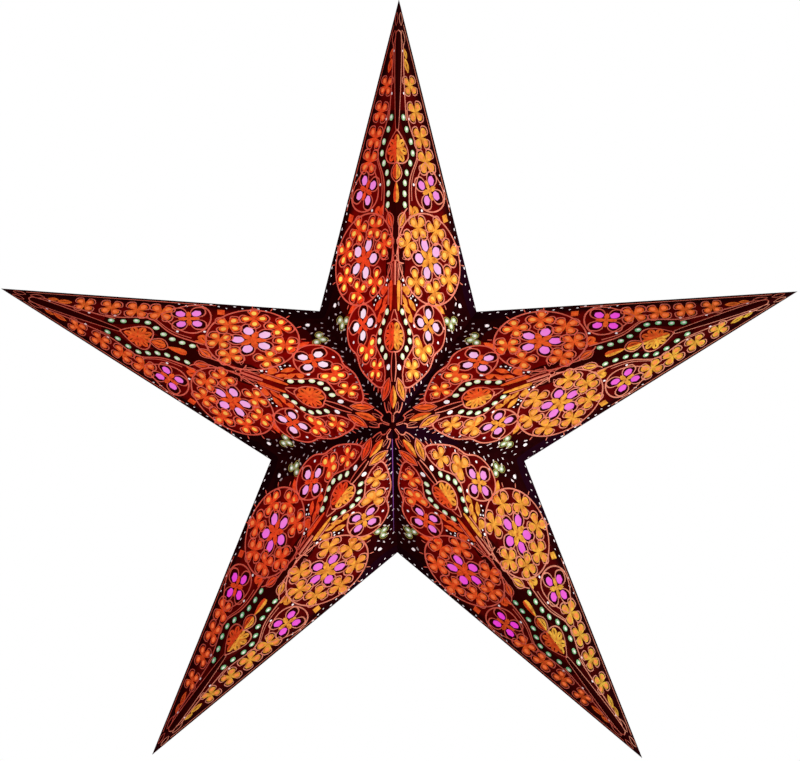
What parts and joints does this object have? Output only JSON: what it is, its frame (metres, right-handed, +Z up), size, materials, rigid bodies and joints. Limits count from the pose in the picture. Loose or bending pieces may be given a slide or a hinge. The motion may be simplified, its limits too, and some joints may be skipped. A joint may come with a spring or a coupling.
{
  "type": "paper star lantern",
  "caption": "Hollow folded paper star lantern with cut flower windows, tissue liners and a lamp opening at the back.",
  "frame": {"origin": "the star's centre, on the plane of its outline", "axes": "+Z up along the top arm, +X to the right seen from the front, and the front faces -Y"},
  "size_m": [0.6, 0.193, 0.5706],
  "materials": {
    "printed_paper": "matt handmade paper, printed dark with an orange folk pattern",
    "tissue": "thin coloured tissue, lit from behind"
  },
  "bodies": {
    "root": {"arm_top": "printed_paper", "arm_upper_right": "printed_paper", "arm_lower_right": "printed_paper", "arm_lower_left": "printed_paper", "arm_upper_left": "printed_paper", "liner_top": "tissue", "liner_upper_right": "tissue", "liner_lower_right": "tissue", "liner_lower_left": "tissue", "liner_upper_left": "tissue"}
  },
  "joints": []
}
